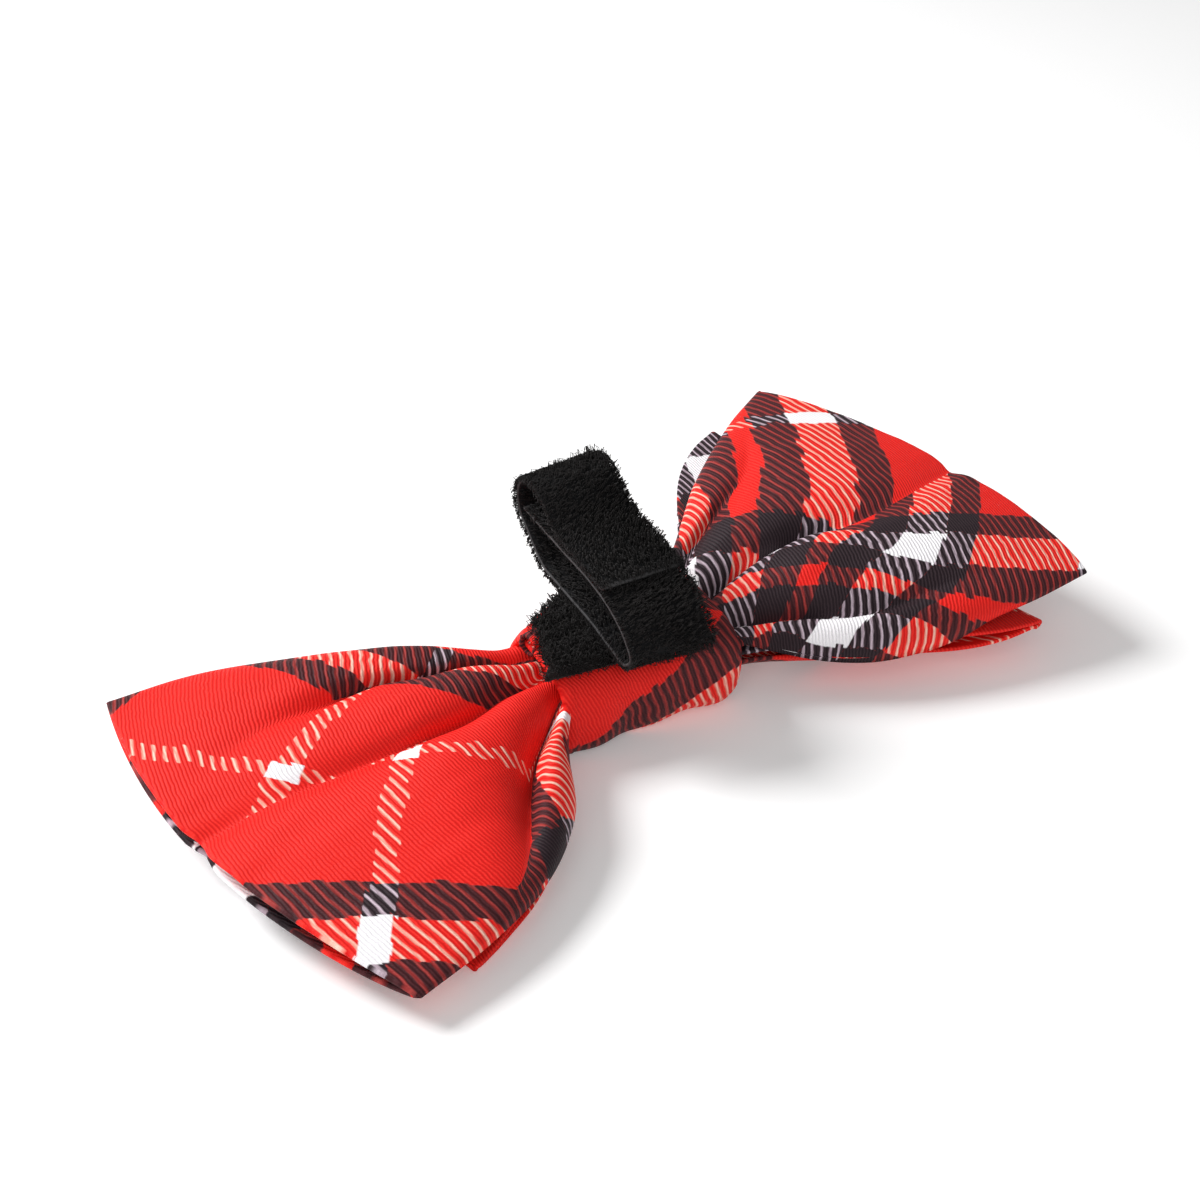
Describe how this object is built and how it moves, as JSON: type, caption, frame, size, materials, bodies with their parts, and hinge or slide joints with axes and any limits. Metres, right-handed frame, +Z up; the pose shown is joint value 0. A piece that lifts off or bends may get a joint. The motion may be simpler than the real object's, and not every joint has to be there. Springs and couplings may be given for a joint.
{
  "type": "pet bow tie with a collar strap",
  "caption": "Two-layer tartan fabric bow with a gathered middle band and a hook-and-loop strap loop on its rear that slides over a pet's collar, lying on its front face.",
  "frame": {"origin": "under the middle of the whole bow, on the surface that it lies on", "axes": "+X along the bow to its right end, +Y to its far long side, +Z up, out of the bow's rear side"},
  "size_m": [0.154, 0.0784, 0.0359],
  "materials": {
    "tartan_cloth": "matt polyester twill with fine ribs and a printed red, black and white tartan on the bias",
    "strap_pile": "black hook-and-loop webbing, fuzzy looped pile outside, moulded hooks inside, cut grey edges"
  },
  "bodies": {
    "root": {"back_bow": "tartan_cloth", "front_bow": "tartan_cloth", "knot_band": "tartan_cloth", "strap_base": "strap_pile", "strap_loop": "strap_pile"}
  },
  "joints": []
}
